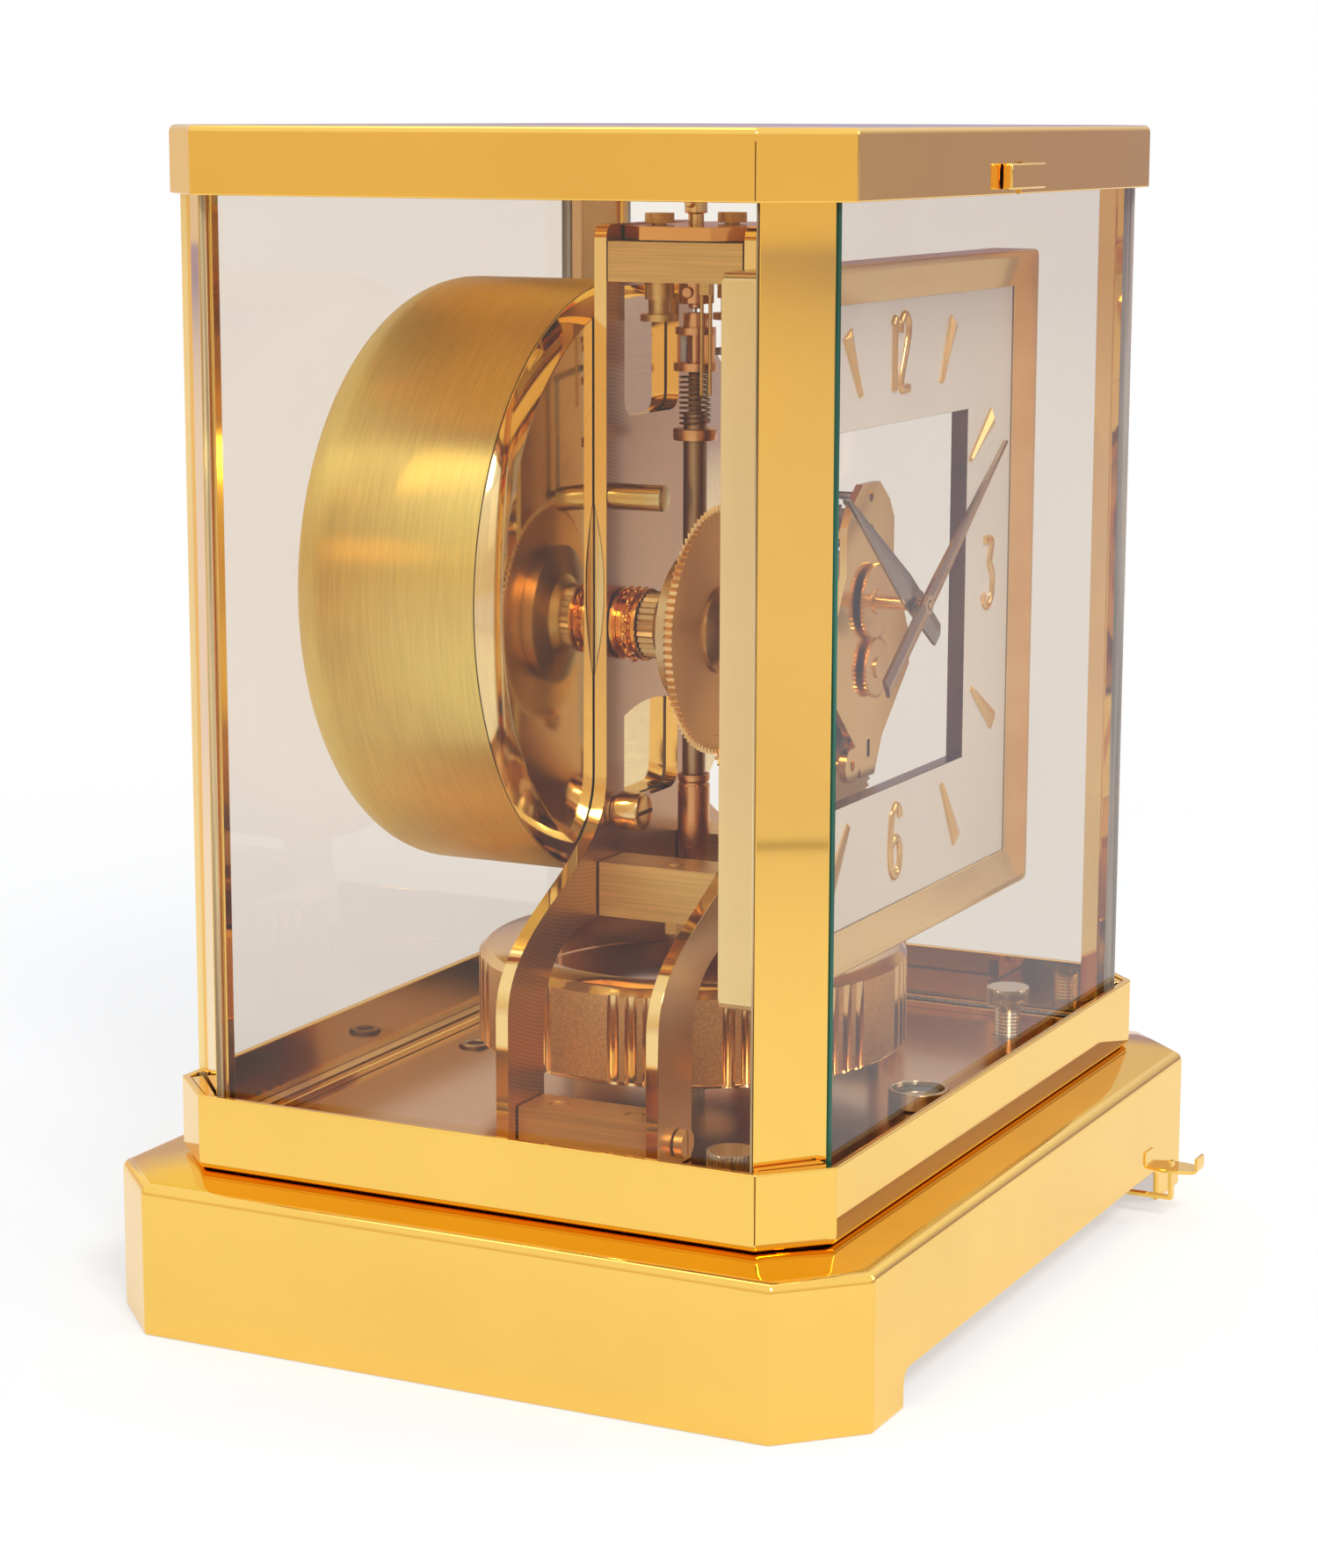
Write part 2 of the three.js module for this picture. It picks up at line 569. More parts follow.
function buildPosts() {
  const section = [
    [-wingX, -wingEndY], [-faceEndX, -faceY], [-faceEndX, -faceY + post.lip], [-wingX + post.lip, -wingEndY],
  ];
  const places = { front_left: [1, 1], front_right: [-1, 1], rear_left: [1, -1], rear_right: [-1, -1] };
  for (const [name, [flipX, flipY]] of Object.entries(places)) {
    const points = section.map(([x, y]) => [x * flipX, y * flipY]);
    add(`corner_post_${name}`, slab(shapeOf(points), paneLow, lidCeiling - gap), "polishedGold");
  }
}

function buildGlazing() {
  const halfY = wingEndY - gap;
  const halfX = faceEndX - gap;
  const innerX = paneX - glass.thick;
  const innerY = paneY - glass.thick;
  add("glass_left", box(-paneX, -innerX, -halfY, halfY, paneLow, paneTop), "glass");
  add("glass_right", box(innerX, paneX, -halfY, halfY, paneLow, paneTop), "glass");
  add("glass_rear", box(-halfX, halfX, innerY, paneY, paneLow, paneTop), "glass");
  add("glass_front", box(-halfX, halfX, -paneY, -innerY, paneLow, paneTop), "glass");
  const blockBack = -lid.depth / 2 - gap;
  const blockLow = lidLow + pull.drop;
  const halfWidth = pull.width / 2;
  const block = box(-halfWidth, halfWidth, blockBack - pull.depth, blockBack, blockLow, blockLow + pull.height);
  const stemLow = lidLow + pull.drop + pull.drop;
  const stemHalf = pull.stem / 2;
  const stemBack = -paneY - gap;
  const stem = box(-stemHalf, stemHalf, blockBack - pull.depth / 2, stemBack, stemLow, stemLow + pull.stemHeight);
  add("glass_pull", joined(block, stem), "polishedGold");
}

function knurledDisc(radius, depth, count, low, high, x, y) {
  const points = [];
  for (let i = 0; i < count; i += 1) {
    for (const [reach, offset] of [[radius, 0], [radius - depth, 1 / 2]]) {
      const turn = (2 * Math.PI * (i + offset)) / count;
      points.push([x + reach * Math.cos(turn), y + reach * Math.sin(turn)]);
    }
  }
  return slab(shapeOf(points), low, high);
}

function buildFeet() {
  const headLow = floorTop + leveller.headLift;
  for (const [name, side] of [["left", -1], ["right", 1]]) {
    const x = side * levellerX;
    const knurls = levellerShank.knurls;
    const headHigh = headLow + leveller.headHeight;
    const head = knurledDisc(leveller.headRadius, levellerShank.knurlDepth, knurls, headLow, headHigh, x, levellerY);
    const shank = uprightBar(levellerShank.radius, levellerShank.groundGap, headLow + gap, x, levellerY);
    const footTop = levellerShank.groundGap + levellerShank.footHeight;
    const foot = uprightBar(levellerShank.footRadius, levellerShank.groundGap, footTop, x, levellerY);
    add(`levelling_screw_${name}`, joined(head, shank, foot), "paleBrass");
  }
  const low = levellerShank.groundGap;
  const top = floorTop + rearFoot.rise;
  const foot = turnedUp([
    [0, low], [rearFoot.footRadius, low], [rearFoot.footRadius, low + rearFoot.footHeight],
    [rearFoot.radius, low + rearFoot.footHeight], [rearFoot.radius, top],
    [rearFoot.socketRadius, top], [rearFoot.socketRadius, floorTop - rearFoot.rise], [0, floorTop - rearFoot.rise],
  ], rearFoot.x, shelfY - rearFoot.insetY, smallSides);
  add("rear_foot", foot, "bronze");
}

function buildLevel() {
  const y = level.insetY - shelfY;
  const low = floorTop + gap;
  const top = low + level.height;
  const inner = level.radius - level.wall;
  const cup = turnedUp([
    [0, low], [level.radius, low], [level.radius, top], [inner, top], [inner, low + level.wall], [0, low + level.wall],
  ], level.x, y);
  const glassRadius = inner - gap;
  const glassTop = top - level.glassDrop;
  const vial = turnedUp([
    [0, low + level.wall + gap], [glassRadius, low + level.wall + gap], [glassRadius, glassTop - level.edgeDrop],
    [glassRadius * Math.SQRT1_2, glassTop - level.crown], [0, glassTop],
  ], level.x, y);
  add("spirit_level_cup", cup, "paleBrass");
  add("spirit_level_glass", vial, "glass");
}

function frameShape(holes) {
  const shape = new THREE.Shape();
  const { halfWidth, topRound, shoulder, legReach, legTop, legWidth } = frame;
  const top = frameTop;
  const low = floorTop + gap;
  const drop = shoulder - legTop;
  shape.moveTo(legReach, low);
  shape.lineTo(legReach, legTop);
  shape.bezierCurveTo(legReach, legTop + drop / 2, halfWidth, shoulder - drop / 2, halfWidth, shoulder);
  shape.lineTo(halfWidth, top - topRound);
  shape.quadraticCurveTo(halfWidth, top, halfWidth - topRound, top);
  shape.lineTo(-halfWidth + topRound, top);
  shape.quadraticCurveTo(-halfWidth, top, -halfWidth, top - topRound);
  shape.lineTo(-halfWidth, shoulder);
  shape.bezierCurveTo(-halfWidth, shoulder - drop / 2, -legReach, legTop + drop / 2, -legReach, legTop);
  shape.lineTo(-legReach, low);
  const inner = legReach - legWidth;
  shape.lineTo(-inner, low);
  shape.lineTo(-inner, frameArch.spring);
  shape.quadraticCurveTo(-inner, frameArch.crown, -frameArch.crownHalf, frameArch.crown);
  shape.lineTo(frameArch.crownHalf, frameArch.crown);
  shape.quadraticCurveTo(inner, frameArch.crown, inner, frameArch.spring);
  shape.lineTo(inner, low);
  shape.holes.push(...holes);
  return shape;
}

function windowPath(low, high, roundedTop) {
  const { left, right, round } = windows;
  const path = new THREE.Path();
  path.moveTo(left, high);
  path.lineTo(left, low + round);
  path.quadraticCurveTo(left, low, left + round, low);
  path.lineTo(right - round, low);
  path.quadraticCurveTo(right, low, right, low + round);
  path.lineTo(right, high);
  if (roundedTop) path.quadraticCurveTo((left + right) / 2, high + round, left, high);
  return path;
}

function roundHole(axis, radius, sides = tinySides) {
  return new THREE.Path(ringPath(radius, axis.x, axis.z, sides).map(([x, z]) => new THREE.Vector2(x, z)));
}

function buildRearPlate() {
  const shape = frameShape([
    windowPath(windowHigh - windows.upperHeight, windowHigh, false),
    windowPath(windows.lowerLow, windows.lowerHigh, true),
    roundHole(barrelAxis, arbor.radius + gap, smallSides),
  ]);
  const blank = plate(shape, rearPlateFront, rearPlateBack);
  const cone = turnedBack([
    [0, rearPlateBack - recess.depth], [recess.floorRadius, rearPlateBack - recess.depth],
    [recess.radius, rearPlateBack], [recess.radius, rearPlateBack + overrun], [0, rearPlateBack + overrun],
  ], 0, housing.z);
  const pillarFront = rearPlateFront - stud.length;
  const pillar = bar(stud.radius, pillarFront, rearPlateFront + gap, stud.x, stud.z);
  const screwReach = stud.radius + stud.screwRise;
  const clampScrew = crossBar(stud.screwRadius, stud.x - screwReach, stud.x, rearPlateFront - stud.screwAlong, stud.z);
  const headFront = rearPlateFront - headScrew.base - headScrew.length;
  const head = bar(headScrew.radius, headFront, rearPlateFront - headScrew.base, headScrew.x, headScrew.z);
  const neck = bar(headScrew.baseRadius, headFront + gap, rearPlateFront + gap, headScrew.x, headScrew.z);
  add("frame_rear_plate", joined(cut(blank, cone), pillar, clampScrew, head, neck), "roseBrass");
}

function buildFrontPlate() {
  const holes = [
    roundHole(barrelAxis, arbor.radius + gap), roundHole(trainAxis, arbor.train + gap),
    roundHole(middleAxis, arbor.small + gap), roundHole(handAxis, arbor.small + gap),
    roundHole(escapeAxis, arbor.small + gap), roundHole(palletAxis, arbor.small + gap),
  ];
  for (const side of [-1, 1]) {
    const middle = (footBar.inner + footBar.outer) / 2;
    holes.push(roundHole({ x: side * middle, z: floorTop + gap + footBar.height / 2 }, legScrew.shank + gap));
  }
  add("frame_front_plate", plate(frameShape(holes), frontPlateFront, frontPlateBack), "roseBrass");
}

function buildFrameBars() {
  const front = frontPlateBack + gap;
  const back = rearPlateFront - gap;
  const middleY = (front + back) / 2;
  const low = floorTop + gap;
  for (const [name, side] of [["left", -1], ["right", 1]]) {
    const [x0, x1] = side < 0 ? [-footBar.outer, -footBar.inner] : [footBar.inner, footBar.outer];
    const x = (x0 + x1) / 2;
    let body = box(x0, x1, front, back, low, low + footBar.height);
    for (const way of [-1, 1]) {
      const high = low + footBar.height;
      const y = middleY + way * footBar.screwY;
      body = body.subtract(uprightBar(footBar.screwRadius, high - footBar.screwDepth, high + overrun, x, y));
      body = body.add(uprightBar(footBar.screwRadius - gap, high - footBar.screwDepth - gap, high - gap, x, y));
    }
    const z = low + footBar.height / 2;
    const headFront = frontPlateFront - gap - legScrew.head;
    const head = bar(legScrew.radius, headFront, frontPlateFront - gap, x, z, smallSides);
    const shank = bar(legScrew.shank, frontPlateFront - gap - gap, front + gap, x, z, tinySides);
    const slotHalf = legScrew.slot / 2;
    const slotBack = headFront + legScrew.slotDepth;
    const reach = legScrew.radius;
    const slot = box(x - slotHalf, x + slotHalf, headFront - overrun, slotBack, z - reach, z + reach);
    add(`foot_bar_${name}`, joined(body, shank, cut(head, slot)), "roseBrass");

    const [a0, a1] = side < 0 ? [-archBar.outer, -archBar.inner] : [archBar.inner, archBar.outer];
    const archX = (a0 + a1) / 2;
    const archLow = frameArch.crown + gap;
    const block = box(a0, a1, front, back, archLow, archBar.high);
    const nut = uprightBar(archBar.nutRadius, archLow - archBar.nutDrop, archLow + gap, archX, middleY, hexSides);
    const screw = uprightBar(archBar.screwRadius, archBar.high - gap, archBar.high + gap, archX, middleY);
    add(`arch_bar_${name}`, joined(block, nut, screw), "roseBrass");
  }
}

function buildTopBar() {
  const front = frontPlateBack + gap;
  const back = rearPlateFront - gap;
  const half = frame.halfWidth;
  let body = box(-half, half, front, back, barLow, barTop);
  body = body.subtract(uprightBar(topBar.boreRadius, barLow - overrun, barTop + overrun, 0, balanceY));
  const cutCorner = topBar.coverCut;
  const outline = [
    [half - cutCorner, front], [half, front + cutCorner], [half, back - cutCorner], [half - cutCorner, back],
    [-half + cutCorner, back], [-half, back - cutCorner], [-half, front + cutCorner], [-half + cutCorner, front],
  ];
  let cover = slab(shapeOf(outline), coverLow, coverTop);
  cover = cover.subtract(uprightBar(knob.neck + gap, coverLow - overrun, coverTop + overrun, 0, balanceY));
  for (const way of [-1, 1]) {
    const x = way * -topBolt.offsetX;
    const y = balanceY + way * topBolt.offsetY;
    cover = cover.subtract(uprightBar(topBolt.shank + gap, coverLow - overrun, coverTop + overrun, x, y));
    const flangeHigh = barLow - topBolt.stud - topBoltTip.neck;
    const bolt = turnedUp([
      [0, flangeHigh - topBoltTip.flange], [topBoltTip.flangeRadius, flangeHigh - topBoltTip.flange],
      [topBoltTip.flangeRadius, flangeHigh], [topBolt.neckRadius, flangeHigh],
      [topBolt.neckRadius, barLow - topBolt.stud], [topBolt.radius, barLow - topBolt.stud],
      [topBolt.radius, barLow + gap], [topBolt.shank, barLow + gap], [topBolt.shank, coverTop + gap],
      [topBolt.radius, coverTop + gap], [topBolt.radius, coverTop + gap + topBolt.head],
      [0, coverTop + gap + topBolt.head],
    ], x, y, smallSides);
    body = body.add(bolt);
  }
  const rodX = guard.x;
  const rodY = balanceY + guard.y;
  const footLow = barLow - guard.foot;
  const reach = guard.spread / 2 + guard.radius;
  const foot = box(rodX - reach, rodX + reach, rodY - reach, rodY + reach, footLow, barLow + gap);
  body = joined(body, foot);
  for (const way of [-1, 1]) {
    const aside = (way * guard.spread) / 2;
    body = body.add(uprightBar(guard.radius, tubeTop + guard.rise, footLow + gap, rodX + aside, rodY - aside, tinySides));
  }
  add("top_bar", body, "roseBrass");
  add("top_cover", cover, "roseBrass");

  const neckLow = barTop - gap;
  const knobLow = coverTop + knob.neckHeight;
  const knobTurned = turnedUp([
    [0, neckLow], [knob.neck, neckLow], [knob.neck, knobLow], [knob.radius, knobLow],
    [knob.radius, knobLow + knob.height], [0, knobLow + knob.height],
  ], 0, balanceY, smallSides);
  const screwReach = knob.radius + knob.screwOut;
  const crossScrew = crossBar(knob.screwRadius, -screwReach, 0, balanceY, knobLow + knob.height / 2);
  add("suspension_knob", joined(knobTurned, crossScrew), "paleBrass");
}

function buildSuspension() {
  const top = barLow - gap;
  const low = top - collet.height;
  const tip = low - collet.chuckDrop;
  const boreRadius = wire.radius + gap;
  const body = turnedUp(closedProfile([
    [boreRadius, tip], [collet.chuck, tip], [collet.chuck, low], [collet.radius, low], [collet.radius, top],
    [boreRadius, top],
  ]), 0, balanceY, smallSides);
  const reach = collet.radius + collet.screwRise;
  const screw = crossBar(collet.screwRadius, -reach, -collet.chuck, balanceY, (low + top) / 2);
  add("suspension_collet", joined(body, screw), "copper");
  const strand = uprightBar(wire.radius, wire.low, top - wire.grip, 0, balanceY, hexSides);
  add("suspension_wire", strand, "steel");
}

function flutedOutline() {
  // The ring's outline with groups of concave flutes between plain stretches.
  const points = [];
  const full = 2 * Math.PI;
  const groupStep = full / flute.groups;
  const plainSteps = 2;
  for (let g = 0; g < flute.groups; g += 1) {
    const centre = full * fluteTurnShare + g * groupStep;
    for (let k = 0; k < flute.perGroup; k += 1) {
      const middle = centre + full * flute.pitchShare * (k - (flute.perGroup - 1) / 2);
      const half = (full * flute.widthShare) / 2;
      for (let i = 0; i <= filletSteps; i += 1) {
        const share = (2 * i) / filletSteps - 1;
        const reach = ring.radius - flute.depth * (1 - share * share);
        points.push([reach * Math.cos(middle + half * share), reach * Math.sin(middle + half * share)]);
      }
    }
    const start = centre + full * (flute.pitchShare * (flute.perGroup - 1) + flute.widthShare) / 2;
    const end = centre + groupStep - full * (flute.pitchShare * (flute.perGroup - 1) + flute.widthShare) / 2;
    for (let i = 1; i <= plainSteps; i += 1) {
      const turn = start + ((end - start) * i) / (plainSteps + 1);
      points.push([ring.radius * Math.cos(turn), ring.radius * Math.sin(turn)]);
    }
  }
  return points;
}

function buildBalance() {
  const band = slab(shapeOf(flutedOutline()), ring.low, ring.high - ring.bevel);
  const upper = turnedUp([
    [0, ring.high - ring.bevel - gap], [ring.radius - flute.depth / 2, ring.high - ring.bevel - gap],
    [ring.radius - flute.depth / 2, ring.high - ring.bevel], [ring.radius - flute.depth / 2 - ring.bevel, ring.high],
    [0, ring.high],
  ], 0, 0, shellSides);
  const wellAbove = uprightBar(ring.inner, ring.webLow + ring.web, ring.high + overrun, 0, 0, roundSides);
  const wellBelow = turnedUp(closedProfile([
    [ring.hub, ring.low - overrun], [ring.inner, ring.low - overrun], [ring.inner, ring.webLow], [ring.hub, ring.webLow],
  ]), 0, 0, roundSides);
  const hub = turnedUp([
    [0, ring.low], [ring.hub, ring.low], [ring.hub, ring.hubTop], [ringNeck.radius, ring.hubTop + ring.web],
    [ringNeck.radius, ringNeck.top], [0, ringNeck.top],
  ], 0, 0, smallSides);
  const body = joined(cut(joined(band, upper), wellAbove, wellBelow), hub);
  add("balance_ring", body.translate([0, balanceY, 0]), "roseBrass");

  const tubeBody = turnedUp(closedProfile([
    [tube.bore, tubeLow], [tube.radius, tubeLow], [tube.radius, tubeTop], [tube.rod, tubeTop],
    [tube.rod, rodTop], [tube.rodBore, rodTop], [tube.rodBore, tubeTop], [tube.bore, tubeTop - tube.bore],
  ]), 0, balanceY, smallSides);
  add("balance_tube", tubeBody, "bronze");
  const sleeveBore = tube.radius + gap;
  const sleeveBody = turnedUp(closedProfile([
    [sleeveBore, tubeLow], [sleeve.foot, tubeLow], [sleeve.foot, tubeLow + sleeve.footHeight],
    [sleeve.radius, tubeLow + sleeve.footHeight], [sleeve.radius, tubeLow + sleeve.height],
    [sleeveBore, tubeLow + sleeve.height],
  ]), 0, balanceY, smallSides);
  add("tube_sleeve", sleeveBody, "copper");
  const collarLow = tubeTop - collar.drop;
  const collarTop = collarLow + collar.height;
  const collarBody = turnedUp(closedProfile([
    [sleeveBore, collarLow], [collar.radius, collarLow], [collar.radius, collarTop], [sleeveBore, collarTop],
  ]), 0, balanceY, smallSides);
  add("tube_collar", collarBody, "copper");

  const curlSteps = 8;
  const wireSides = 5;
  const place = (a, b, c) => new THREE.Vector3(a, balanceY + b, c);
  const path = coilPath(coil.radius, tubeTop - coil.drop, tubeTop + coil.rise, coil.curls, curlSteps, place);
  selfGap("tube spring", path, coil.wire, curlSteps);
  add("tube_spring", helix(path, coil.wire, wireSides), "steel");

  const rodBore = tube.rod + gap;
  const discTop = rollerLow + roller.disc;
  const discProfile = [[0, rollerLow], [roller.radius, rollerLow], [roller.radius, discTop], [0, discTop]];
  const lowDisc = turnedUp(discProfile, 0, balanceY);
  const capTop = cageTop + rollerNeck.capThick;
  const topDisc = turnedUp([
    [0, cageTop], [roller.cageRadius, cageTop], [roller.cageRadius, capTop], [rollerNeck.radius, capTop],
    [rollerNeck.radius, rollerTop], [0, rollerTop],
  ], 0, balanceY);
  const wallStart = -Math.PI / 2;
  const wallPoints = [];
  const wallSteps = filletSteps * 2;
  for (let i = 0; i <= wallSteps; i += 1) {
    const turn = wallStart + (Math.PI * i) / wallSteps;
    wallPoints.push([roller.cageRadius * Math.cos(turn), balanceY + roller.cageRadius * Math.sin(turn)]);
  }
  for (let i = wallSteps; i >= 0; i -= 1) {
    const turn = wallStart + (Math.PI * i) / wallSteps;
    wallPoints.push([rodBore * Math.cos(turn), balanceY + rodBore * Math.sin(turn)]);
  }
  const wall = slab(shapeOf(wallPoints), discTop - gap, cageTop + gap);
  const bore = uprightBar(rodBore, rollerLow - overrun, rollerTop + overrun, 0, balanceY);
  add("roller_block", cut(joined(lowDisc, topDisc, wall), bore), "copper");
  const pinY = balanceY + pin.alongY;
  add("impulse_pin", uprightBar(pin.radius, discTop + gap, cageTop - gap, pin.alongX, pinY, tinySides), "ruby");
}

function buildHousing() {
  const shellFront = housing.frontFace + housing.rimDepth + gap;
  const outer = [[0, shellFront], [housing.radius, shellFront]];
  const inner = [];
  for (let i = 0; i <= filletSteps; i += 1) {
    const turn = (Math.PI * i) / (2 * filletSteps);
    const centre = housing.radius - housing.round;
    const depth = housing.back - housing.round;
    outer.push([centre + housing.round * Math.cos(turn), depth + housing.round * Math.sin(turn)]);
    const small = housing.round - housing.wall;
    inner.push([centre + small * Math.cos(turn), depth + small * Math.sin(turn)]);
  }
  outer.push([0, housing.back]);
  const shell = turnedBack(outer, 0, housing.z, shellSides);
  const hollow = turnedBack([
    [0, shellFront - overrun], [housing.radius - housing.wall, shellFront - overrun], ...inner,
    [0, housing.back - housing.wall],
  ], 0, housing.z, shellSides);
  add("bellows_housing", cut(shell, hollow), "satinBrass");

  const face = turnedBack([
    [0, housing.frontFace], [housing.radius - housing.rim, housing.frontFace],
    [housing.radius, housing.frontFace + housing.rimDepth], [0, housing.frontFace + housing.rimDepth],
  ], 0, housing.z, shellSides);
  const faceBack = housing.frontFace + housing.rimDepth;
  const passage = bar(lidHole, housing.frontFace - overrun, faceBack + overrun, 0, housing.z);
  add("housing_lid", cut(face, passage), "mirror");

  const back = housing.back - housing.wall - gap;
  const ribRun = back - bellows.backCap - bellows.front;
  const profile = [[0, bellows.front], [bellows.radius - bellows.fold, bellows.front]];
  for (let i = 0; i < bellows.ribs; i += 1) {
    const y = bellows.front + (ribRun * (i + 1 / 2)) / bellows.ribs;
    profile.push([bellows.radius, y], [bellows.radius - bellows.fold, y + ribRun / (2 * bellows.ribs)]);
  }
  profile.push([bellows.radius - bellows.fold, back], [0, back]);
  add("bellows", turnedBack(profile, 0, housing.z), "copper");

  const plateBack = bellows.front - gap;
  const plateFront = plateBack - pushPlate.thick;
  const push = turnedBack([
    [0, plateFront - pushPlate.boss], [pushPlate.bossRadius, plateFront - pushPlate.boss],
    [pushPlate.bossRadius, plateFront], [pushPlate.radius, plateFront], [pushPlate.radius, plateBack], [0, plateBack],
  ], 0, housing.z);
  add("push_plate", push, "paleBrass");

  const springFront = housing.frontFace + housing.rimDepth + gap + bigSpring.wire;
  const springBack = plateFront - gap - bigSpring.wire;
  const curlSteps = 12;
  const wireSides = 5;
  const place = (a, b, c) => new THREE.Vector3(a, c, housing.z + b);
  const path = coilPath(bigSpring.radius, springFront, springBack, bigSpring.curls, curlSteps, place);
  selfGap("bellows spring", path, bigSpring.wire, curlSteps);
  add("bellows_spring", helix(path, bigSpring.wire, wireSides), "steel");
}

function starPoints(count, radius, depth, axis) {
  const points = [];
  for (let i = 0; i < count; i += 1) {
    for (const [reach, offset] of [[radius, 0], [radius - depth, 1 / 2]]) {
      const turn = (2 * Math.PI * (i + offset)) / count;
      points.push([axis.x + reach * Math.cos(turn), axis.z + reach * Math.sin(turn)]);
    }
  }
  return points;
}

const greatModule = moduleOf(barrelAxis, trainAxis, greatWheel.teeth, teeth.trainPinion);
const trainModule = moduleOf(trainAxis, middleAxis, teeth.train, teeth.middlePinion);
const middleModule = moduleOf(middleAxis, handAxis, teeth.middle, teeth.cannon);
const relayModule = moduleOf(middleAxis, handAxis, teeth.relay, teeth.hour);
const minuteModule = moduleOf(handAxis, escapeAxis, upperTeeth.minute, upperTeeth.escapePinion);

function buildBarrel() {
  const { x, z } = barrelAxis;
  const bore = arbor.radius + gap;
  const discThick = greatWheel.back - greatWheel.front;
  const disc = gear(greatWheel.teeth, greatModule, barrelAxis, greatWheel.front, discThick, 0, true);
  const { root } = gearRadii(greatWheel.teeth, greatModule);
  const webFront = greatWheel.front + greatWheel.web;
  const dish = turnedBack(closedProfile([
    [greatWheel.domeRadius, greatWheel.front - overrun], [root - greatWheel.rimWidth, greatWheel.front - overrun],
    [root - greatWheel.rimWidth, webFront], [greatWheel.domeRadius, webFront],
  ]), x, z);
  const domeLine = domeShares.map(([radiusShare, heightShare]) => (
    [greatWheel.domeRadius * radiusShare, greatWheel.front - greatWheel.dome * heightShare]
  ));
  const dome = turnedBack([
    ...domeLine, [greatWheel.domeRadius, greatWheel.front], [greatWheel.domeRadius, webFront + gap], [0, webFront + gap],
  ], x, z, smallSides);
  const spindle = bar(arbor.radius, frontPlateFront + gap, rearPlateBack - recess.depth - gap, x, z, tinySides);
  add("great_wheel", joined(cut(disc, dish), dome, spindle), "copper");

  const drum = turnedBack(closedProfile([
    [bore, barrel.front], [barrel.radius, barrel.front], [barrel.radius, barrel.shoulder],
    [(barrel.radius + barrel.throat) / 2, (barrel.shoulder + barrel.neck) / 2], [barrel.throat, barrel.neck],
    [barrel.mouth, ratchet.front - gap], [bore, ratchet.front - gap],
  ]), x, z);
  const boreLine = ringPath(bore, x, z, tinySides);
  const clickShape = shapeOf(starPoints(ratchet.teeth, ratchet.radius, ratchet.depth, barrelAxis), [boreLine]);
  const click = plate(clickShape, ratchet.front - gap - gap, ratchet.back);
  add("mainspring_barrel", joined(drum, click), "satinBrass");

  const spool = turnedBack(closedProfile([
    [bore, pulley.front], [pulley.radius, pulley.front], [pulley.radius, pulley.front + pulley.flange],
    [pulley.groove, pulley.front + pulley.flange], [pulley.groove, pulley.back - pulley.flange],
    [pulley.radius, pulley.back - pulley.flange], [pulley.radius, pulley.back], [bore, pulley.back],
  ]), x, z);
  add("chain_pulley", spool, "polishedGold");
  const loopSteps = 24;
  const chainSides = 6;
  const middle = (pulley.front + pulley.back) / 2;
  const run = chain.pitch * chain.loops;
  const windRadius = pulley.groove + gap + chain.wire;
  const place = (a, b, c) => new THREE.Vector3(x + a, c, z + b);
  const path = coilPath(windRadius, middle - run / 2, middle + run / 2, chain.loops, loopSteps, place);
  selfGap("winding chain", path, chain.wire, loopSteps);
  add("winding_chain", helix(path, chain.wire, chainSides), "copper");
}

